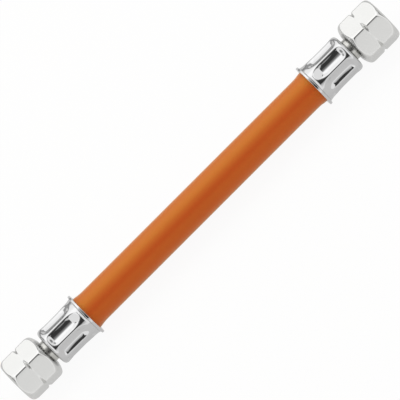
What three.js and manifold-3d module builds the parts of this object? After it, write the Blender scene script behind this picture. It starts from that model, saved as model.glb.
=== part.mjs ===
// Flexible gas hose with a swivelling union nut at each end, lying straight on a flat surface.
// Millimetres, +Z up. The hose runs along X, and the origin is on the surface below its middle.
// A place along a fitting is its distance inwards from the nut's open face.
import * as THREE from "three";
import { mergeVertices } from "three/addons/utils/BufferGeometryUtils.js";
import Module from "manifold-3d";

const wasm = await Module();
wasm.setup();

// Hose: 6.3 mm bore and 3.5 mm wall
const HOSE_BORE_R = 3.15;
const HOSE_WALL = 3.5;
const HOSE_LENGTH = 145.5; // as cut, with both ends inside the ferrules

// Union nut: 17 mm across flats, threaded G 1/4 left-hand
const NUT_FLATS = 17;
const NUT_LENGTH = 16.1;
const THREAD_MAJOR_R = 6.5785;
const THREAD_DEPTH = 0.856;
const THREAD_LENGTH = 9.2; // from the open face to the undercut
const UNDERCUT_DEPTH = 0.17; // below the thread's roots
const NUT_REAR_WALL = 1.75; // the straight hole around the tail's neck
const NUT_FACE_WIDTH = 0.92; // flat ring at the open end
const NUT_FRONT_ROUND = 3; // length of the rounding behind it
const NUT_FRONT_FALL = 0.5; // how far the rounding's pull point lies inside the corners
const NUT_REAR_WIDTH = 0.9; // flat ring at the hose end
const NUT_REAR_ROUND = 3.4;
const NUT_REAR_FALL = 0.3;
const NOTCH_PLACE = 8; // the groove across the corners that marks a left-hand thread
const NOTCH_DEPTH = 1.1;
const NOTCH_WIDTH = 1.7;

// Hose tail, turned in one piece
const NOSE_R = 2.8; // flat tip of the sealing cone
const CONE_R = 5; // widest part of the sealing cone
const CONE_HALF_ANGLE = 30 * (Math.PI / 180);
const COLLAR_CLEARANCE = 0.3; // between the collar and the thread's crests
const COLLAR_LENGTH = 4.2;
const NECK_R = 4.4;
const SWIVEL_CLEARANCE = 0.3; // between the nut and the tail that it turns on
const GROOVE_DEPTH = 0.5; // holds the ferrule's front wall
const STOP_LENGTH = 1.4; // shoulder that the hose is pushed up to
const BARB_BITE = 0.15; // the barbs are this much larger than the hose's bore
const BARB_RISE = 0.55;
const BARB_PITCH = 3.1;
const BARBS = 4;
const BARB_RAMP = 0.8; // of a barb's pitch, with the plain stretch before it in the rest
const TAIL_WALL = 0.75; // at its thinnest, between two barbs
const TAIL_LEAD = 1.2; // plain end past the last barb

// Ferrule, pressed in eight places
const NUT_GAP = 1.45; // neck that shows between nut and ferrule
const FERRULE_LENGTH = 18.2;
const FERRULE_WALL = 0.8;
const FERRULE_FRONT_WALL = 1.1;
const FERRULE_CLEARANCE = 0.35; // around the hose where the ferrule isn't pressed
const FERRULE_ROUND = 1.8; // radius of the front shoulder
const FLARE_LENGTH = 2;
const FLARE_RISE = 1.2;
const LIP_WIDTH = 0.6; // straight rim of the flare
const JAWS = 8;
const CRIMP_SQUEEZE = 0.37; // depth of a groove below the ridges, as a share of the hose's wall
const RIDGE_DIP = 0.22; // the ridges are pulled in this much too
const CRIMP_START = 1.3; // from the ferrule's front
const CRIMP_LENGTH = 14.7;
const CRIMP_FRONT_RAMP = 2.2;
const CRIMP_REAR_RAMP = 3.6;

const FIT = 0.2; // gap between pieces that are pressed together

// Facets
const AROUND = 48; // a multiple of twice the jaws
const AROUND_TAIL = 24;
const CURVE_STEPS = 3;
const CRIMP_TURN = Math.PI / AROUND; // first ridge, from the top towards -Y: half a facet

const hoseR = HOSE_BORE_R + HOSE_WALL;
const ferruleBoreR = hoseR + FERRULE_CLEARANCE;
const ferruleR = ferruleBoreR + FERRULE_WALL;
const swivelR = NECK_R + SWIVEL_CLEARANCE;
const threadMinorR = THREAD_MAJOR_R - THREAD_DEPTH;
const collarR = threadMinorR - COLLAR_CLEARANCE;
const grooveR = NECK_R - GROOVE_DEPTH;
const barbR = HOSE_BORE_R + BARB_BITE;

// Places along a fitting
const swivelStart = NUT_LENGTH - NUT_REAR_WALL;
const ferruleFront = NUT_LENGTH + NUT_GAP;
const ferruleInside = ferruleFront + FERRULE_FRONT_WALL;
const ferruleMouth = ferruleFront + FERRULE_LENGTH;
const stopStart = ferruleInside + FIT;
const stopEnd = stopStart + STOP_LENGTH;
const hoseEnd = stopEnd + FIT;
const tailEnd = stopEnd + BARBS * BARB_PITCH + TAIL_LEAD;
const crimpStart = ferruleFront + CRIMP_START;
const crimpEnd = crimpStart + CRIMP_LENGTH;
const crimpPlaces = [
  crimpStart,
  crimpStart + CRIMP_FRONT_RAMP / 3,
  crimpStart + (CRIMP_FRONT_RAMP * 2) / 3,
  crimpStart + CRIMP_FRONT_RAMP,
  crimpEnd - CRIMP_REAR_RAMP,
  crimpEnd - (CRIMP_REAR_RAMP * 2) / 3,
  crimpEnd - CRIMP_REAR_RAMP / 3,
  crimpEnd,
];

const chrome = new THREE.MeshStandardMaterial({
  name: "chrome",
  color: 0xe8e8ea,
  metalness: 1,
  roughness: 0.08,
});
const satinPlate = new THREE.MeshStandardMaterial({
  name: "satin plate",
  color: 0xd6d6d3,
  metalness: 0.9,
  roughness: 0.4,
});
const turnedSteel = new THREE.MeshStandardMaterial({
  name: "turned steel",
  color: 0xbcbbb4,
  metalness: 1,
  roughness: 0.22,
});
const orangeRubber = new THREE.MeshStandardMaterial({
  name: "orange rubber",
  color: 0xcb6c2e,
  metalness: 0,
  roughness: 0.55,
});

function toSolid(geometry) {
  const bare = geometry.clone();
  bare.deleteAttribute("normal");
  bare.deleteAttribute("uv");
  const merged = mergeVertices(bare, 1e-4);
  return new wasm.Manifold(
    new wasm.Mesh({
      numProp: 3,
      vertProperties: new Float32Array(merged.attributes.position.array),
      triVerts: new Uint32Array(merged.index.array),
    }),
  );
}

function toGeometry(solid) {
  const mesh = solid.getMesh();
  const geometry = new THREE.BufferGeometry();
  geometry.setAttribute("position", new THREE.BufferAttribute(mesh.vertProperties, 3));
  geometry.setIndex(new THREE.BufferAttribute(mesh.triVerts, 1));
  geometry.computeVertexNormals();
  return geometry;
}

// Turns a closed outline about the X axis. Its points run from the open end inwards outside and
// back inside, as (place, radius), and toX gives a place's x. An angle is measured from the top
// towards -Y, and reshape, where given, returns the radius that a point gets.
function revolve(outline, segments, { toX = (along) => -along, reshape = null } = {}) {
  const ring = outline.map((p) => new THREE.Vector2(p.y, toX(p.x))).reverse();
  const geometry = new THREE.LatheGeometry(ring, segments, Math.PI / segments);
  geometry.rotateZ(-Math.PI / 2);
  if (reshape) {
    const points = geometry.attributes.position;
    for (let i = 0; i < points.count; i++) {
      const [x, y, z] = [points.getX(i), points.getY(i), points.getZ(i)];
      const radius = Math.hypot(y, z);
      const wanted = reshape(radius, x, Math.atan2(-y, z));
      points.setXYZ(i, x, (y * wanted) / radius, (z * wanted) / radius);
    }
    geometry.computeVertexNormals();
  }
  return geometry;
}

// How much of the pressing reaches a place: none at the crimp's ends, all of it between the ramps
function crimpShare(along) {
  const front = THREE.MathUtils.smoothstep(along, crimpStart, crimpStart + CRIMP_FRONT_RAMP);
  const rear = THREE.MathUtils.smoothstep(along, crimpEnd - CRIMP_REAR_RAMP, crimpEnd);
  return front * (1 - rear);
}

// How far the ferrule is pressed in: a groove with a rounded bottom under each jaw, and a ridge
// between two jaws. Across a groove the depth follows a parabola.
function crimpDepth(along, angle) {
  const turns = ((angle - CRIMP_TURN) / (2 * Math.PI)) * JAWS;
  const across = 2 * (turns - Math.floor(turns)) - 1;
  const groove = CRIMP_SQUEEZE * HOSE_WALL * (1 - across * across);
  return crimpShare(along) * (RIDGE_DIP + groove);
}

// A turned blank with its bore, cut to a hexagon
function unionNut() {
  const cornerR = NUT_FLATS / Math.sqrt(3);
  const blankR = cornerR + FIT;
  const rearStart = NUT_LENGTH - NUT_REAR_ROUND;
  const undercutR = THREAD_MAJOR_R + UNDERCUT_DEPTH;
  const notchR = cornerR - NOTCH_DEPTH;
  const notchHalf = (NOTCH_WIDTH / 2) * ((blankR - notchR) / NOTCH_DEPTH);

  const turned = new THREE.Path();
  turned.moveTo(0, THREAD_MAJOR_R + NUT_FACE_WIDTH);
  turned.quadraticCurveTo(NUT_FRONT_ROUND / 8, cornerR - NUT_FRONT_FALL, NUT_FRONT_ROUND, blankR);
  turned.lineTo(NOTCH_PLACE - notchHalf, blankR);
  turned.lineTo(NOTCH_PLACE, notchR);
  turned.lineTo(NOTCH_PLACE + notchHalf, blankR);
  turned.lineTo(rearStart, blankR);
  turned.quadraticCurveTo(
    NUT_LENGTH - NUT_REAR_ROUND / 4,
    cornerR - NUT_REAR_FALL,
    NUT_LENGTH,
    swivelR + NUT_REAR_WIDTH,
  );
  turned.lineTo(NUT_LENGTH, swivelR);
  turned.lineTo(swivelStart, swivelR);
  turned.lineTo(swivelStart - (undercutR - swivelR), undercutR);
  turned.lineTo(THREAD_LENGTH, undercutR);
  turned.lineTo(THREAD_LENGTH, threadMinorR);
  turned.lineTo(THREAD_DEPTH, threadMinorR);
  turned.lineTo(0, THREAD_MAJOR_R);
  turned.closePath();
  const blank = revolve(turned.getPoints(2 * CURVE_STEPS), AROUND);

  const hexagon = new THREE.Shape(
    Array.from({ length: 6 }, (_, i) => {
      const angle = Math.PI / 2 + (i * Math.PI) / 3;
      return new THREE.Vector2(cornerR * Math.cos(angle), cornerR * Math.sin(angle));
    }),
  );
  const bar = new THREE.ExtrudeGeometry(hexagon, {
    depth: NUT_LENGTH + 2 * FIT,
    bevelEnabled: false,
  });
  bar.translate(0, 0, -NUT_LENGTH - FIT);
  bar.rotateY(Math.PI / 2);
  return toGeometry(toSolid(bar).intersect(toSolid(blank)));
}

// The cone seals on the other fitting, the collar's back carries the nut, and the barbs the hose.
function hoseTail() {
  const rootR = barbR - BARB_RISE;
  const boreR = rootR - TAIL_WALL;
  const neckStart = swivelStart + SWIVEL_CLEARANCE * (1 - Math.SQRT2);
  const collarEnd = neckStart - (collarR - NECK_R);
  const collarStart = collarEnd - COLLAR_LENGTH;
  const noseTip = collarStart - (CONE_R - NOSE_R) / Math.tan(CONE_HALF_ANGLE);

  const turned = new THREE.Path();
  turned.moveTo(noseTip, boreR);
  turned.lineTo(noseTip, NOSE_R);
  turned.lineTo(collarStart, CONE_R);
  turned.lineTo(collarStart, collarR);
  turned.lineTo(collarEnd, collarR);
  turned.lineTo(neckStart, NECK_R);
  turned.lineTo(ferruleFront - FIT, NECK_R);
  turned.lineTo(ferruleFront - FIT, grooveR);
  turned.lineTo(stopStart, grooveR);
  turned.lineTo(stopStart, NECK_R);
  turned.lineTo(stopEnd, NECK_R);
  turned.lineTo(stopEnd, rootR);
  for (let i = 1; i <= BARBS; i++) {
    const barbEnd = stopEnd + i * BARB_PITCH;
    turned.lineTo(barbEnd - BARB_RAMP * BARB_PITCH, rootR);
    turned.lineTo(barbEnd - BARB_RAMP * BARB_PITCH, barbR);
    turned.lineTo(barbEnd, rootR);
  }
  turned.lineTo(tailEnd, rootR);
  turned.lineTo(tailEnd, boreR);
  turned.closePath();
  return revolve(turned.getPoints(), AROUND_TAIL);
}

// The wall stays as thick where it is pressed, because the bore goes in with the outside.
function ferrule() {
  const flareStart = ferruleMouth - FLARE_LENGTH;
  const bendEnd = ferruleMouth - LIP_WIDTH;
  const flareR = ferruleR + FLARE_RISE;
  const boreMouthR = flareR - FERRULE_WALL;
  const holeR = grooveR + FIT;

  const drawn = new THREE.Path();
  drawn.moveTo(ferruleFront, holeR);
  drawn.lineTo(ferruleFront, ferruleR - FERRULE_ROUND);
  drawn.quadraticCurveTo(ferruleFront, ferruleR, ferruleFront + FERRULE_ROUND, ferruleR);
  crimpPlaces
    .filter((along) => along > ferruleFront + FERRULE_ROUND && along < flareStart)
    .forEach((along) => drawn.lineTo(along, ferruleR));
  drawn.lineTo(flareStart, ferruleR);
  drawn.quadraticCurveTo(bendEnd, ferruleR, bendEnd, flareR);
  drawn.lineTo(ferruleMouth, flareR);
  drawn.lineTo(ferruleMouth, boreMouthR);
  drawn.quadraticCurveTo(ferruleMouth, ferruleBoreR, flareStart, ferruleBoreR);
  crimpPlaces
    .filter((along) => along > ferruleInside && along < flareStart)
    .reverse()
    .forEach((along) => drawn.lineTo(along, ferruleBoreR));
  drawn.lineTo(ferruleInside, ferruleBoreR);
  drawn.lineTo(ferruleInside, holeR);
  drawn.closePath();
  return revolve(drawn.getPoints(CURVE_STEPS), AROUND, {
    reshape: (radius, x, angle) =>
      radius < ferruleBoreR - FIT ? radius : radius - crimpDepth(-x, angle),
  });
}

// One length of hose from end to end, whose pressed ends fill the ferrules
function hose() {
  const toX = (along) => HOSE_LENGTH / 2 + hoseEnd - along;
  const mirror = (point) => new THREE.Vector2(-point.x, point.y);
  const outside = [hoseEnd, ...crimpPlaces.filter((along) => along > hoseEnd), ferruleMouth].map(
    (along) => new THREE.Vector2(toX(along), hoseR),
  );
  const bore = [
    new THREE.Vector2(toX(hoseEnd), barbR + FIT),
    new THREE.Vector2(toX(tailEnd), barbR + FIT),
    new THREE.Vector2(toX(tailEnd + BARB_PITCH), HOSE_BORE_R),
  ];
  const outline = [
    ...outside,
    ...outside.map(mirror).reverse(),
    ...bore.map(mirror),
    ...bore.reverse(),
    outside[0],
  ];
  const pressed = (radius, x, angle) => {
    const along = HOSE_LENGTH / 2 + hoseEnd - Math.abs(x);
    const roomR = ferruleBoreR - crimpDepth(along, angle) - FIT;
    return radius < hoseR - FIT ? radius : Math.min(radius, roomR);
  };
  return revolve(outline, AROUND, { toX: (x) => x, reshape: pressed });
}

function named(name, geometry, material) {
  const mesh = new THREE.Mesh(geometry, material);
  mesh.name = name;
  return mesh;
}

function endFitting(side) {
  const group = new THREE.Group();
  group.add(named("union_nut_" + side, unionNut(), satinPlate));
  group.add(named("hose_tail_" + side, hoseTail(), turnedSteel));
  group.add(named("ferrule_" + side, ferrule(), chrome));
  return group;
}

const gasHose = new THREE.Group();
const right = endFitting("right");
right.position.x = HOSE_LENGTH / 2 + hoseEnd;
const left = endFitting("left");
left.position.x = -right.position.x;
left.scale.x = -1;
gasHose.add(right, left, named("hose", hose(), orangeRubber));

// Set down on the surface, on whatever reaches lowest
const lowest = new THREE.Box3().setFromObject(gasHose).min.z;
gasHose.children.forEach((child) => {
  child.position.z = -lowest;
});

export default gasHose;
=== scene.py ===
# Flexible gas hose laid out straight: orange rubber with a turned tail, a crimped chrome ferrule and
# a satin plated union nut at each end. Metres, +Z up, the hose along X.
import math

import bpy
import numpy as np
from mathutils import Matrix, Vector


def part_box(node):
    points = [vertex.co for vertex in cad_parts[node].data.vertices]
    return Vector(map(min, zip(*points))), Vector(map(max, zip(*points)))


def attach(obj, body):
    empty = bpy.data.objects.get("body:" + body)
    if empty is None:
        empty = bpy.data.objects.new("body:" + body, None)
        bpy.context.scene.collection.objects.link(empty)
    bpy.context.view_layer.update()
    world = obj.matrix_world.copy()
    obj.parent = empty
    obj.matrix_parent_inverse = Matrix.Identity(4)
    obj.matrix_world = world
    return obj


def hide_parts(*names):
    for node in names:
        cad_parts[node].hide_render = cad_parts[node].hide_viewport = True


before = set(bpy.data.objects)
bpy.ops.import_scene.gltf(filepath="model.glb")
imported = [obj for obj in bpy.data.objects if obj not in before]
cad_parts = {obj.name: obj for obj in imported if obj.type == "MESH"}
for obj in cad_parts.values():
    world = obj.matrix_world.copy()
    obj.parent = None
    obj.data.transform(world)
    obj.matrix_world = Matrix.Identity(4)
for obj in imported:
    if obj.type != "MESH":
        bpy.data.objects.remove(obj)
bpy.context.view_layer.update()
scene = bpy.context.scene
mm = 0.001

# Shapes are in millimetres. A place along a fitting is its distance inwards from the nut's open
# face, and an angle round the hose is measured from the top towards -Y.
nutLow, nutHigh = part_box("union_nut_right")
ferruleLow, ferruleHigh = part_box("ferrule_right")
tailLow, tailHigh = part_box("hose_tail_right")
hoseLow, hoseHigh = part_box("hose")
faceX = nutHigh[0] / mm
axisZ = (hoseLow[2] + hoseHigh[2]) / 2 / mm
nutLength = faceX - nutLow[0] / mm
noseTip = faceX - tailHigh[0] / mm
tailEnd = faceX - tailLow[0] / mm
ferruleFront = faceX - ferruleHigh[0] / mm
ferruleMouth = faceX - ferruleLow[0] / mm
hoseEnd = faceX - hoseHigh[0] / mm
ends = {"right": 1, "left": -1}  # which way along X each fitting points


# Meshes
def along(start, end, spacing):
    # Evenly spaced points from start up to end, which is left out
    start, end = np.array(start, float), np.array(end, float)
    count = max(1, math.ceil(np.hypot(*(end - start)) / spacing))
    return start + (end - start) * np.arange(count)[:, None] / count


def bent(start, pull, end, count):
    # A parabola from start to end whose tangents cross at pull, with the end left out
    t = np.arange(count)[:, None] / count
    start, pull, end = np.array(start), np.array(pull), np.array(end)
    return (1 - t) ** 2 * start + 2 * t * (1 - t) * pull + t**2 * end


def run(corners, spacing):
    # (place, radius) points along straight edges. A corner in between is (place, radius, reach): a
    # parabola rounds it, and touches both edges at reach from the corner. The end is left out.
    spots = [np.array(corner[:2], float) for corner in corners]
    parts = []
    here = spots[0]
    for k in range(1, len(corners) - 1):
        reach = corners[k][2]
        back = (spots[k - 1] - spots[k]) / np.hypot(*(spots[k - 1] - spots[k]))
        ahead = (spots[k + 1] - spots[k]) / np.hypot(*(spots[k + 1] - spots[k]))
        steps = max(4, math.ceil(2 * reach / spacing))
        parts.append(along(here, spots[k] + back * reach, spacing))
        parts.append(bent(spots[k] + back * reach, spots[k], spots[k] + ahead * reach, steps))
        here = spots[k] + ahead * reach
    parts.append(along(here, spots[-1], spacing))
    return np.vstack(parts)


def anglesRound(sectors, perSector, gather, start):
    # Angles once round, start being a border between sectors: u - gather * sin(2 pi u) / (2 pi)
    # across a sector, which draws them together at its borders
    u = np.arange(perSector) / perSector
    gathered = u - gather * np.sin(2 * np.pi * u) / (2 * np.pi)
    return start + ((np.arange(sectors)[:, None] + gathered).ravel()) * 2 * np.pi / sectors


def ringMesh(name, place, radius, angle, side, marks=None):
    # Rows go once round the closed outline and columns once round the axis. A point lies at
    # x = side * (faceX - place), y = -radius * sin(angle), z = axisZ + radius * cos(angle).
    place, radius, angle = np.broadcast_arrays(place, radius, angle)
    x = side * (faceX - place)
    points = np.stack([x, -radius * np.sin(angle), axisZ + radius * np.cos(angle)], -1) * mm
    index = np.arange(radius.size).reshape(radius.shape)
    below = np.roll(index, -1, axis=0)
    quads = np.stack([index, below, np.roll(below, -1, 1), np.roll(index, -1, 1)], -1)
    if side < 0:
        quads = quads[..., ::-1]

    mesh = bpy.data.meshes.new(name)
    mesh.vertices.add(radius.size)
    mesh.vertices.foreach_set("co", points.astype(np.float32).ravel())
    mesh.loops.add(quads.size)
    mesh.loops.foreach_set("vertex_index", quads.astype(np.int32).ravel())
    mesh.polygons.add(radius.size)
    mesh.polygons.foreach_set("loop_start", np.arange(0, quads.size, 4, dtype=np.int32))
    for key, values in (marks or {}).items():
        attribute = mesh.attributes.new(key, "FLOAT", "POINT")
        attribute.data.foreach_set("value", np.broadcast_to(values, radius.shape).ravel())
    mesh.update(calc_edges=True)
    mesh.shade_smooth()
    piece = bpy.data.objects.new(name, mesh)
    scene.collection.objects.link(piece)
    return piece


def fit(piece, node, body, material):
    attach(piece, body)
    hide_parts(node)
    piece.data.materials.append(material)


# Shader maths
class Wire:
    # An output socket that takes part in sums
    def __init__(self, bench, socket):
        self.bench = bench
        self.socket = socket

    def __add__(self, other):
        return self.bench.maths("ADD", self, other)

    def __sub__(self, other):
        return self.bench.maths("SUBTRACT", self, other)

    def __mul__(self, other):
        return self.bench.maths("MULTIPLY", self, other)

    def __radd__(self, other):
        return self.bench.maths("ADD", other, self)

    def __rsub__(self, other):
        return self.bench.maths("SUBTRACT", other, self)

    def __rmul__(self, other):
        return self.bench.maths("MULTIPLY", other, self)


class Bench:
    # A node tree under construction
    def __init__(self, owner):
        owner.use_nodes = True
        self.tree = owner.node_tree
        self.tree.nodes.clear()

    def node(self, kind, settings=None, inputs=None, output=0):
        made = self.tree.nodes.new(kind)
        for key, value in (settings or {}).items():
            setattr(made, key, value)
        for key, value in (inputs or {}).items():
            if isinstance(value, Wire):
                self.tree.links.new(value.socket, made.inputs[key])
            else:
                made.inputs[key].default_value = value
        return Wire(self, made.outputs[output]) if len(made.outputs) else None

    def maths(self, operation, first, second):
        return self.node("ShaderNodeMath", {"operation": operation}, {0: first, 1: second})

    def position(self, stretch=(1, 1, 1)):
        spot = self.node("ShaderNodeTexCoord", output="Object")
        settings = {"operation": "MULTIPLY"}
        return self.node("ShaderNodeVectorMath", settings, {0: spot, 1: stretch})

    def noise(self, perMetre, stretch=(1, 1, 1), detail=2.0, roughness=0.5):
        inputs = {
            "Vector": self.position(stretch),
            "Scale": perMetre,
            "Detail": detail,
            "Roughness": roughness,
        }
        return self.node("ShaderNodeTexNoise", None, inputs, "Fac")

    def blend(self, share, first, second):
        settings = {"data_type": "RGBA"}
        inputs = {"Factor": share, 6: first, 7: second}
        return self.node("ShaderNodeMix", settings, inputs, 2)

    def bump(self, height, depth, strength=1.0):
        inputs = {"Height": height, "Distance": depth, "Strength": strength}
        return self.node("ShaderNodeBump", None, inputs)

    def attribute(self, name):
        return self.node("ShaderNodeAttribute", {"attribute_name": name}, None, "Fac")

    def surface(self, inputs):
        shader = self.node("ShaderNodeBsdfPrincipled", None, inputs)
        self.node("ShaderNodeOutputMaterial", None, {"Surface": shader})


def newMaterial(name):
    material = bpy.data.materials.new(name)
    return material, Bench(material)


# Camera
cameraView = dict(
    elevation=47.7,  # degrees above the horizon, square to the hose
    roll=45.0,  # brings the hose up from lower left to upper right
    lens=400.0,
    frameWidth=143.5,  # mm across the picture, where the hose lies
)


def makeCamera(view):
    camera = bpy.data.cameras.new("camera")
    camera.lens = view["lens"]
    distance = view["frameWidth"] * mm * camera.lens / camera.sensor_width
    e, r = math.radians(view["elevation"]), math.radians(view["roll"])
    across, up = Vector((1, 0, 0)), Vector((0, math.sin(e), math.cos(e)))
    back = Vector((0, -math.cos(e), math.sin(e)))
    right = across * math.cos(r) - up * math.sin(r)
    top = across * math.sin(r) + up * math.cos(r)
    turned = Matrix((right, top, back)).transposed().to_4x4()
    holder = bpy.data.objects.new("camera", camera)
    spot = Vector((0, 0, axisZ * mm)) + back * distance
    holder.matrix_world = Matrix.Translation(spot) @ turned
    scene.collection.objects.link(holder)
    scene.camera = holder


makeCamera(cameraView)
print("camera set")


# Hose
hoseShape = dict(
    outerRadius=6.65,
    boreRadius=3.15,
    endBoreRadius=3.5,  # where the barbs stretch it
    stretchedLength=13.6,  # of that bore, from the hose's end
    stretchFade=3.1,  # from that bore to the plain one
    crimpGap=0.2,  # between hose and ferrule
    looseLength=2.0,  # inside the ferrule's mouth, where nothing presses the hose
    mouthSwell=0.4,  # rubber that the crimp pushes out, just past the ferrule's mouth
    swellLength=2.0,
    columns=128,
)

ferruleShape = dict(
    radius=7.8,
    wall=0.8,
    frontWall=1.1,
    holeRadius=4.1,
    frontRound=1.8,
    flareRadius=9.0,
    flareLength=1.45,  # of the cone before the lip
    flareRise=0.43,  # at the lip
    flareBend=1.3,
    lipBend=0.3,
    lipWidth=0.9,
    mouthRound=1.1,  # inside the mouth
    jaws=8,
    ridgeAngle=5.9,  # degrees, of the first ridge
    ridgeDip=0.15,  # how far the ridges themselves are pressed
    grooveDepth=1.305,
    grooveCrown=0.2,  # share of its depth that a groove loses towards its ends
    ridgeRounding=0.26,  # share of half a groove that the ridge's rounding takes
    crimpStart=1.3,  # from the ferrule's front
    crimpLength=14.7,
    frontRamp=2.2,
    rearRamp=3.9,
    frontBow=0.9,  # how much later a groove starts at its sides, and how much sooner it ends
    rearBow=2.1,
    perJaw=44,  # columns
)


def eased(x):
    x = np.clip(x, 0, 1)
    return x * x * (3 - 2 * x)


def crimpDepth(place, angle, shape):
    # How far the jaws press in. Across a groove, with v from -1 at one ridge to 1 at the next, the
    # depth goes as 1 - v ** 2, and a parabola rounds each ridge. Along it the depth rises over the
    # front ramp and falls over the rear one, with a slight crown in between.
    turns = (angle - math.radians(shape["ridgeAngle"])) / (2 * np.pi) * shape["jaws"]
    v = 2 * (turns - np.floor(turns)) - 1
    inside = 1 - np.abs(v)
    rounding = shape["ridgeRounding"]
    rounded = np.where(inside < rounding, inside**2 / (2 * rounding), inside - rounding / 2)
    v = 1 - rounded / (1 - rounding / 2)
    start = ferruleFront + shape["crimpStart"]
    end = start + shape["crimpLength"]
    corner = np.abs(v) ** 3
    front = eased((place - start - shape["frontBow"] * corner) / shape["frontRamp"])
    rear = eased((end - shape["rearBow"] * corner - place) / shape["rearRamp"])
    fromMiddle = (2 * place - start - end) / shape["crimpLength"]
    crown = 1 - shape["grooveCrown"] * fromMiddle**2
    return front * rear * (shape["ridgeDip"] + shape["grooveDepth"] * crown * (1 - v * v))


def makeHose(shape, ferrule):
    # A straight tube, closed over its ends and bore, that the crimps press in at both ends:
    # the outer radius is the least of the tube's own and the room in the ferrule
    middle = faceX
    mouth, farMouth = ferruleMouth, 2 * middle - ferruleMouth
    far = 2 * middle - hoseEnd
    outer, bore, endBore = shape["outerRadius"], shape["boreRadius"], shape["endBoreRadius"]
    stretched = shape["stretchedLength"]
    plain = stretched + shape["stretchFade"]
    fittedStep, openStep, boreStep = 0.4, 0.8, 2.0  # from row to row
    outline = np.vstack(
        [
            along((hoseEnd, outer), (mouth, outer), fittedStep),
            along((mouth, outer), (farMouth, outer), openStep),
            along((farMouth, outer), (far, outer), fittedStep),
            run(
                [
                    (far, outer),
                    (far, endBore, 0.2),
                    (far - stretched, endBore, 0.5),
                    (far - plain, bore, 0.5),
                    (hoseEnd + plain, bore, 0.5),
                    (hoseEnd + stretched, endBore, 0.5),
                    (hoseEnd, endBore, 0.2),
                    (hoseEnd, outer),
                ],
                boreStep,
            ),
        ]
    )
    place, radius = outline[:, :1], outline[:, 1:]
    angle = anglesRound(ferrule["jaws"], shape["columns"] // ferrule["jaws"], 0.3,
                        math.radians(ferrule["ridgeAngle"]))
    fromEnd = middle - np.abs(middle - place)
    past = (fromEnd - mouth) / shape["swellLength"]
    outside = radius > outer - 0.1
    swell = shape["mouthSwell"] * np.exp(-(past**2)) * outside
    inner = ferrule["radius"] - ferrule["wall"]
    room = inner - crimpDepth(fromEnd, angle, ferrule) - shape["crimpGap"]
    limit = np.where(outside & (fromEnd < mouth - shape["looseLength"]), room, np.inf)
    radius = np.minimum(radius + swell, limit)
    hose = ringMesh("hoseRubber", place, radius, angle, 1)
    route = [((middle - p) * mm, 0, axisZ * mm) for p in np.linspace(hoseEnd, far, 25)]
    return hose, route


def rubber():
    # Extruded rubber: satin, with a fine grain, faint lines along it from the die and a little
    # unevenness in its colour. A painted highlight makes its top lighter and yellower, where the
    # light from above falls
    material, bench = newMaterial("orange rubber")
    patches = bench.noise(60, (0.4, 1, 1), 3.0)
    grain = bench.noise(2600, (0.6, 1, 1), 3.0, 0.6)
    dieLines = bench.noise(900, (0.02, 1, 1), 2.0)
    shades = (0.58, 0.052, 0.011, 1), (0.64, 0.068, 0.015, 1)
    fresh = bench.blend(patches * 0.9 + grain * 0.1, *shades)
    # Painted highlight: towards the top of the hose the colour blends to a lighter, yellower orange,
    # standing in for the light from above
    height = bench.node("ShaderNodeSeparateXYZ", None, {0: bench.position()}, "Z")
    limits = {
        "Value": height,
        "From Min": (axisZ + 0.66 * hoseShape["outerRadius"]) * mm,
        "From Max": (axisZ + hoseShape["outerRadius"]) * mm,
    }
    paintedTopLight = bench.node("ShaderNodeMapRange", {"interpolation_type": "SMOOTHSTEP"}, limits)
    colour = bench.blend(paintedTopLight * (0.8 + patches * 0.2), fresh, (0.61, 0.10, 0.018, 1))
    relief = grain * 0.6 + dieLines * 0.4
    bench.surface(
        {
            "Base Color": colour,
            "Roughness": 0.26 + patches * 0.1 + grain * 0.06,
            "Specular IOR Level": 0.7,
            "Specular Tint": (0.5, 1, 0.15, 1),
            "Sheen Weight": 0.4,
            "Sheen Roughness": 0.5,
            "Sheen Tint": (0.8, 0.9, 0.2, 1),
            "Normal": bench.bump(relief, 0.00003, 0.5),
        }
    )
    return material


hose, hoseRoute = makeHose(hoseShape, ferruleShape)
fit(hose, "hose", "hose_line", rubber())
print("hose made")


# Ferrules
def makeFerrule(name, side, shape):
    outer, inner = shape["radius"], shape["radius"] - shape["wall"]
    front, mouth, hole = ferruleFront, ferruleMouth, shape["holeRadius"]
    flare, lip = shape["flareRadius"], ferruleMouth - shape["lipWidth"]
    inside = front + shape["frontWall"]
    seam = hole + 0.8  # where the outline starts and ends, on the front face
    outline = run(
        [
            (front, seam),
            (front, outer, shape["frontRound"]),
            (lip - shape["flareLength"], outer, shape["flareBend"]),
            (lip, outer + shape["flareRise"], shape["lipBend"]),
            (lip, flare, 0.18),
            (mouth, flare, 0.22),
            (mouth, inner, shape["mouthRound"]),
            (inside, inner, 0.4),
            (inside, hole, 0.1),
            (front, hole, 0.15),
            (front, seam),
        ],
        0.22,
    )
    place, radius = outline[:, :1], outline[:, 1:]
    start = math.radians(shape["ridgeAngle"])
    angle = anglesRound(shape["jaws"], shape["perJaw"], 0.6, start)
    depth = crimpDepth(place, angle, shape) * (radius > inner - 0.2)
    return ringMesh(name, place, radius - depth, angle, side, {"pressed": depth})


def chrome():
    # Bright chrome: a faint orange peel from the steel under it, a little haze in patches, and fine
    # marks along the grooves from the jaws
    material, bench = newMaterial("polished chrome")
    haze = bench.noise(160, (1, 1, 1), 3.0)
    peel = bench.noise(700, (1, 1, 1), 2.0)
    jawMarks = bench.noise(2200, (0.1, 1, 1), 3.0, 0.6) * bench.attribute("pressed")
    bench.surface(
        {
            "Base Color": bench.blend(haze, (0.69, 0.69, 0.695, 1), (0.74, 0.74, 0.74, 1)),
            "Metallic": 1.0,
            "Roughness": 0.04 + haze * 0.05,
            "Normal": bench.bump(peel + jawMarks * 0.15, 0.00001, 0.3),
        }
    )
    return material


chromeFinish = chrome()
ferrules = {}
for word, side in ends.items():
    ferrules[word] = makeFerrule("ferruleSleeve" + word.title(), side, ferruleShape)
    fit(ferrules[word], "ferrule_" + word, "hose_line", chromeFinish)
print("ferrules made")


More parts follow.
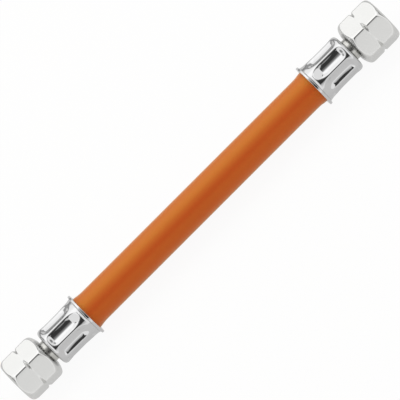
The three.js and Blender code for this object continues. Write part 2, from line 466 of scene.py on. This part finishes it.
# Hose tails
tailShape = dict(
    boreRadius=2.0,
    noseRadius=2.8,
    coneRadius=5.0,
    coneAngle=30.0,  # between the cone's side and the axis
    collarRadius=5.42,
    collarLength=4.2,
    neckRadius=4.4,
    grooveRadius=3.9,
    grooveGap=0.2,  # on both sides of the ferrule's front wall
    stopLength=1.4,
    rootRadius=2.75,
    barbRadius=3.3,
    barbPitch=3.1,
    barbStep=0.2,  # share of the pitch in front of each barb's step
    barbShort=0.02,  # how much sooner a barb's slope ends than its pitch
    barbs=4,
    columns=144,
)


def makeTail(name, side, shape):
    bore, neck, root = shape["boreRadius"], shape["neckRadius"], shape["rootRadius"]
    slope = math.tan(math.radians(shape["coneAngle"]))
    collarStart = noseTip + (shape["coneRadius"] - shape["noseRadius"]) / slope
    collarEnd = collarStart + shape["collarLength"]
    grooveStart = ferruleFront - shape["grooveGap"]
    stopStart = ferruleFront + ferruleShape["frontWall"] + shape["grooveGap"]
    stopEnd = stopStart + shape["stopLength"]
    corners = [
        (noseTip, (bore + shape["noseRadius"]) / 2),
        (noseTip, shape["noseRadius"], 0.12),
        (collarStart, shape["coneRadius"], 0.08),
        (collarStart, shape["collarRadius"], 0.1),
        (collarEnd, shape["collarRadius"], 0.2),
        (collarEnd + shape["collarRadius"] - neck, neck, 0.25),
        (grooveStart, neck, 0.08),
        (grooveStart, shape["grooveRadius"], 0.08),
        (stopStart, shape["grooveRadius"], 0.08),
        (stopStart, neck, 0.08),
        (stopEnd, neck, 0.15),
        (stopEnd, root, 0.15),
    ]
    for k in range(shape["barbs"]):
        barb = stopEnd + k * shape["barbPitch"]
        step = barb + shape["barbStep"] * shape["barbPitch"]
        corners.append((step, root, 0.1))
        corners.append((step, shape["barbRadius"], 0.06))
        corners.append((barb + shape["barbPitch"] - shape["barbShort"], root, 0.1))
    corners += [(tailEnd, root, 0.2), (tailEnd, bore, 0.15), (noseTip, bore, 0.2), corners[0]]
    outline = run(corners, 0.3)
    angle = anglesRound(1, shape["columns"], 0, 0)
    return ringMesh(name, outline[:, :1], outline[:, 1:], angle, side)


def turnedSteel():
    # Turned and plated steel: fine rings from the tool round every turned face
    material, bench = newMaterial("turned steel")
    rings = bench.noise(5200, (1, 0.03, 0.03), 2.0)
    stain = bench.noise(240, (1, 1, 1), 3.0)
    bench.surface(
        {
            "Base Color": bench.blend(stain, (0.58, 0.57, 0.54, 1), (0.68, 0.68, 0.65, 1)),
            "Metallic": 1.0,
            "Roughness": 0.16 + rings * 0.1 + stain * 0.05,
            "Normal": bench.bump(rings, 0.00001, 0.5),
        }
    )
    return material


steelFinish = turnedSteel()
tails = {}
for word, side in ends.items():
    tails[word] = makeTail("turnedTail" + word.title(), side, tailShape)
    fit(tails[word], "hose_tail_" + word, "hose_line", steelFinish)
print("hose tails made")


# Union nuts
nutShape = dict(
    flats=17.0,
    edgeNorm=60,  # higher makes the hexagon's edges sharper
    faceRadius=7.5,
    blankRadius=10.0,
    frontRound=3.0,
    frontPull=(0.375, 9.315),  # place and radius where the front's tangents cross
    rearRound=3.4,
    rearPull=(-0.85, 9.515),  # the same for the rear, its place counting from the rear face
    rearRadius=5.6,
    notchPlace=8.0,
    notchRadius=8.715,
    notchSlope=1.9,  # rise of the notch's sides
    notchSoftness=0.15,
    notchReach=1.1,  # of the finer rows on both sides of it
    holeRadius=4.7,
    holeLength=1.75,
    undercutRadius=6.75,
    threadLength=9.2,
    majorRadius=6.5785,
    minorRadius=5.7225,
    threadPitch=1.337,
    threadFade=0.8,  # where it runs out
    perSector=48,  # columns
)


def makeNut(name, side, shape):
    # Outside, the radius is a p-norm of the hexagon's six faces and the turned blank's outline:
    # (sum of (cos(angle - face) / (flats / 2)) ** p + blank ** -p) ** (-1 / p). Inside it is the
    # outline, with the thread as a wave of place / pitch - turns. The turns run the other way at the
    # left end, so that both threads are left-hand.
    p = shape["edgeNorm"]
    rearStart = nutLength - shape["rearRound"]
    holeStart = nutLength - shape["holeLength"]
    shoulder = holeStart - (shape["undercutRadius"] - shape["holeRadius"])
    major, minor = shape["majorRadius"], shape["minorRadius"]
    threadEnd = shape["threadLength"] - 0.2  # short of its last corner
    plainStep, notchStep = 0.35, 0.09  # from row to row

    blankStart = (shape["frontRound"], shape["blankRadius"])
    front = bent((0, shape["faceRadius"]), shape["frontPull"], blankStart, 34)
    notch, reach = shape["notchPlace"], shape["notchReach"]
    waist = np.vstack(
        [
            along((shape["frontRound"], 0), (notch - reach, 0), plainStep),
            along((notch - reach, 0), (notch + reach, 0), notchStep),
            along((notch + reach, 0), (rearStart, 0), plainStep),
        ]
    )
    fromNotch = np.hypot(waist[:, 0] - notch, shape["notchSoftness"])
    groove = shape["notchRadius"] + shape["notchSlope"] * (fromNotch - shape["notchSoftness"])
    waist[:, 1] = np.minimum(groove, shape["blankRadius"])
    rearPull = (nutLength + shape["rearPull"][0], shape["rearPull"][1])
    rear = bent((rearStart, shape["blankRadius"]), rearPull, (nutLength, shape["rearRadius"]), 40)
    outside = np.vstack([front, waist, rear])
    inside = np.vstack(
        [
            run(
                [
                    (nutLength, shape["rearRadius"]),
                    (nutLength, shape["holeRadius"], 0.25),
                    (holeStart, shape["holeRadius"], 0.12),
                    (shoulder, shape["undercutRadius"], 0.2),
                    (shape["threadLength"], shape["undercutRadius"], 0.1),
                    (shape["threadLength"], minor, 0.1),
                    (threadEnd, minor),
                ],
                0.3,
            ),
            along((threadEnd, minor), (0, minor), 0.1),
            along((0, major), (0, shape["faceRadius"]), 0.2),
        ]
    )

    angle = anglesRound(6, shape["perSector"], 0.8, math.radians(30))
    faces = np.radians(60 * np.arange(6))[:, None]
    terms = np.clip(np.cos(angle - faces) / (shape["flats"] / 2), 0, None) ** p
    blank = outside[:, 1:] ** -p
    total = terms.sum(0) + blank
    outerRadius = total ** (-1 / p)
    edge = 2 * (1 - np.maximum(terms.max(0), blank) / total)

    place, radius = inside[:, :1], inside[:, 1:]
    turns = side * angle / (2 * np.pi)
    wave = 0.5 + 0.5 * np.cos(2 * np.pi * (place / shape["threadPitch"] - turns))
    fade = eased((threadEnd - place) / shape["threadFade"])
    threaded = (place < shape["threadLength"] - 0.1) & (radius < minor + 0.01)
    cut = radius + (major - minor) * wave * fade * threaded
    chamfered = np.where(threaded, np.maximum(cut, major - place), cut)

    allPlaces = np.vstack([outside[:, :1], place])
    allRadii = np.vstack([outerRadius, chamfered])
    wear = np.vstack([edge, np.zeros(chamfered.shape)])
    return ringMesh(name, allPlaces, allRadii, angle, side, {"edge": wear})


def satinPlate():
    # Satin nickel on a tumbled nut: soft grain, and edges rubbed a little brighter
    material, bench = newMaterial("satin plate")
    grain = bench.noise(2400, (1, 1, 1), 3.0, 0.6)
    cloud = bench.noise(130, (1, 1, 1), 3.0)
    edge = bench.attribute("edge")
    plate = bench.blend(cloud, (0.76, 0.76, 0.745, 1), (0.82, 0.82, 0.805, 1))
    bench.surface(
        {
            "Base Color": bench.blend(edge * 0.4, plate, (0.86, 0.86, 0.85, 1)),
            "Metallic": 1.0,
            "Roughness": 0.2 + cloud * 0.05 + grain * 0.03 - edge * 0.14,
            "Normal": bench.bump(grain, 0.00002, 0.35),
        }
    )
    return material


plateFinish = satinPlate()
nuts = {}
for word, side in ends.items():
    nuts[word] = makeNut("unionNut" + word.title(), side, nutShape)
    fit(nuts[word], "union_nut_" + word, "union_nut_" + word, plateFinish)
print("union nuts made")


# Studio
studio = dict(
    ambient=0.7,
    floorSize=6.0,  # metres, as all sizes here
    floorWhite=0.93,  # share of plain white that the camera sees in the floor
    floorShine=0.85,  # and that reflections see
    floorGlow=0.69,  # how bright that white is in reflections
    softboxAngle=120.0,  # degrees from the horizon in front, over the top
    softboxDistance=1.1,
    softboxSize=(1.8, 0.85),
    softboxPower=6.2,
)
# Cards bent round the hose that only reflections show: each spans two rims, given in metres by x and
# distance from the X axis, with degrees up from the horizon in front and brightness at each stop
cards = dict(
    darkCard=dict(rims=((-0.44, 0.9), (0.44, 0.9)), angles=(1, 10, 27, 28.5, 50, 57, 69, 84, 97),
                  glow=(0.88, 1.0, 0.53, 0.04, 0.05, 0.15, 0.22, 0.5, 1.28)),
    brightCard=dict(rims=((-0.75, 1.3), (0.75, 1.3)), angles=(75, 97, 112, 125, 150),
                    glow=(1.3, 1.3, 1.38, 1.17, 1.1)),
    greyCard=dict(rims=((-0.36, 0.9), (0.36, 0.9)), angles=(148, 163, 178),
                  glow=(1.1, 0.32, 0.32)),
    wallCard=dict(rims=((-3.0, 1.6), (3.0, 1.6)), angles=(120, 178), glow=(0.4, 0.4)),
    leftCard=dict(rims=((-1.0, 0.02), (-1.0, 0.45)), angles=(1, 178), glow=(0.18, 0.4)),
    rightCard=dict(rims=((1.0, 0.02), (1.0, 0.45)), angles=(1, 178), glow=(0.18, 0.4)),
)


def seenDirectly(bench, cameraShare, reflectedShare):
    # A share for camera rays and another for rays that metal sends on
    camera = bench.node("ShaderNodeLightPath", output="Is Camera Ray")
    reflected = bench.node("ShaderNodeLightPath", output="Is Glossy Ray")
    return bench.maths("MAXIMUM", camera * cameraShare, reflected * reflectedShare)


def makeWorld(look):
    world = bpy.data.worlds.new("studio")
    scene.world = world
    bench = Bench(world)
    strength = look["ambient"] + seenDirectly(bench, 1.0, 1.0) * (1 - look["ambient"])
    light = bench.node("ShaderNodeBackground", None, {"Color": (1, 1, 1, 1), "Strength": strength})
    bench.node("ShaderNodeOutputWorld", None, {"Surface": light})


def makeFloor(look):
    # A pale sheet, seen as partly plain white, so that the object's shadow stays but is light
    half = look["floorSize"] / 2
    corners = [(-half, -half, 0), (half, -half, 0), (half, half, 0), (-half, half, 0)]
    mesh = bpy.data.meshes.new("floor")
    mesh.from_pydata(corners, [], [(0, 1, 2, 3)])
    floor = bpy.data.objects.new("floor", mesh)
    scene.collection.objects.link(floor)
    material, bench = newMaterial("pale floor")
    share = seenDirectly(bench, look["floorWhite"], look["floorShine"])
    paper = bench.node("ShaderNodeBsdfDiffuse", None, {"Color": (0.9, 0.885, 0.86, 1)})
    glow = seenDirectly(bench, 1.0, look["floorGlow"])
    white = bench.node("ShaderNodeEmission", None, {"Color": (1, 1, 1, 1), "Strength": glow})
    mixed = bench.node("ShaderNodeMixShader", None, {0: share, 1: paper, 2: white})
    bench.node("ShaderNodeOutputMaterial", None, {"Surface": mixed})
    mesh.materials.append(material)


def makeSoftbox(look):
    light = bpy.data.lights.new("softbox", "AREA")
    light.shape = "RECTANGLE"
    light.size, light.size_y = look["softboxSize"]
    light.energy = look["softboxPower"]
    holder = bpy.data.objects.new("softbox", light)
    a = math.radians(look["softboxAngle"])
    spot = Vector((0, -math.cos(a), math.sin(a))) * look["softboxDistance"]
    turn = spot.to_track_quat("Z", "Y")
    holder.matrix_world = Matrix.Translation(spot) @ turn.to_matrix().to_4x4()
    holder.visible_camera = False
    holder.visible_glossy = False  # reflections show the bright card in its place
    scene.collection.objects.link(holder)


def makeCard(name, look):
    # The surface that a straight line between the rims sweeps round the hose, whose brightness runs
    # from stop to stop
    steps = 48
    degrees = np.linspace(look["angles"][0], look["angles"][-1], steps)[:, None]
    a = np.radians(degrees)
    x, distance = np.array(look["rims"]).T
    y = -np.cos(a) * distance
    z = np.sin(a) * distance
    points = np.stack(np.broadcast_arrays(x, y, z), -1).reshape(-1, 3)
    k = 2 * np.arange(steps - 1)[:, None]
    quads = np.hstack([k, k + 1, k + 3, k + 2])
    mesh = bpy.data.meshes.new(name)
    mesh.from_pydata(points, [], quads)
    glow = mesh.attributes.new("glow", "FLOAT", "POINT")
    glow.data.foreach_set("value", np.repeat(np.interp(degrees, look["angles"], look["glow"]), 2))
    card = bpy.data.objects.new(name, mesh)
    card.visible_camera = False
    card.visible_diffuse = False
    card.visible_shadow = False
    scene.collection.objects.link(card)
    material, bench = newMaterial(name)
    inputs = {"Color": (1, 1, 1, 1), "Strength": bench.attribute("glow")}
    light = bench.node("ShaderNodeEmission", None, inputs)
    bench.node("ShaderNodeOutputMaterial", None, {"Surface": light})
    mesh.materials.append(material)


makeWorld(studio)
makeFloor(studio)
makeSoftbox(studio)
for name, look in cards.items():
    makeCard(name, look)
scene.view_settings.view_transform = "Standard"
print("studio set")
